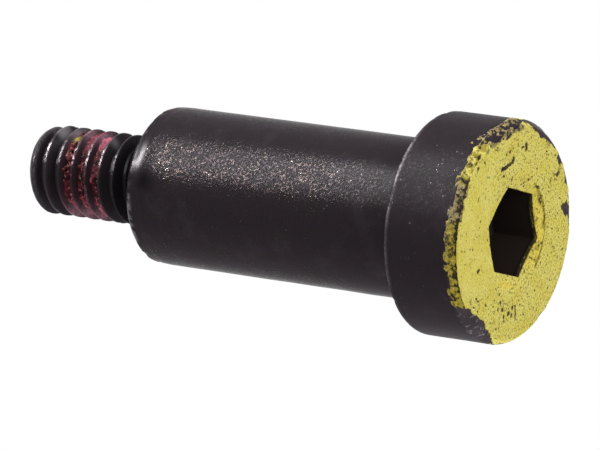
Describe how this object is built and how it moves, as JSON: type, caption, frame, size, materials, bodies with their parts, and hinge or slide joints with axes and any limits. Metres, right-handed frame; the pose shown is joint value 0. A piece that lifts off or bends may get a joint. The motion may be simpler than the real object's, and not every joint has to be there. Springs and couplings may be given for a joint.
{
  "type": "shoulder bolt",
  "caption": "Socket-head shoulder bolt: low cylindrical head, long plain ground shoulder, short right-handed thread; worn black finish, painted head end.",
  "frame": {"origin": "centre of the head's flat end face, which is the plane the bolt stands on", "axes": "+Z runs along the bolt's axis from the head to the tip of the thread; a corner of the hexagon socket is 2.8 degrees from -Y towards +X"},
  "size_m": [0.0186, 0.0186, 0.0466],
  "materials": {
    "blackened_steel": "black oxide, satin, worn and speckled"
  },
  "bodies": {
    "root": {"shoulder_bolt": "blackened_steel"}
  },
  "joints": []
}
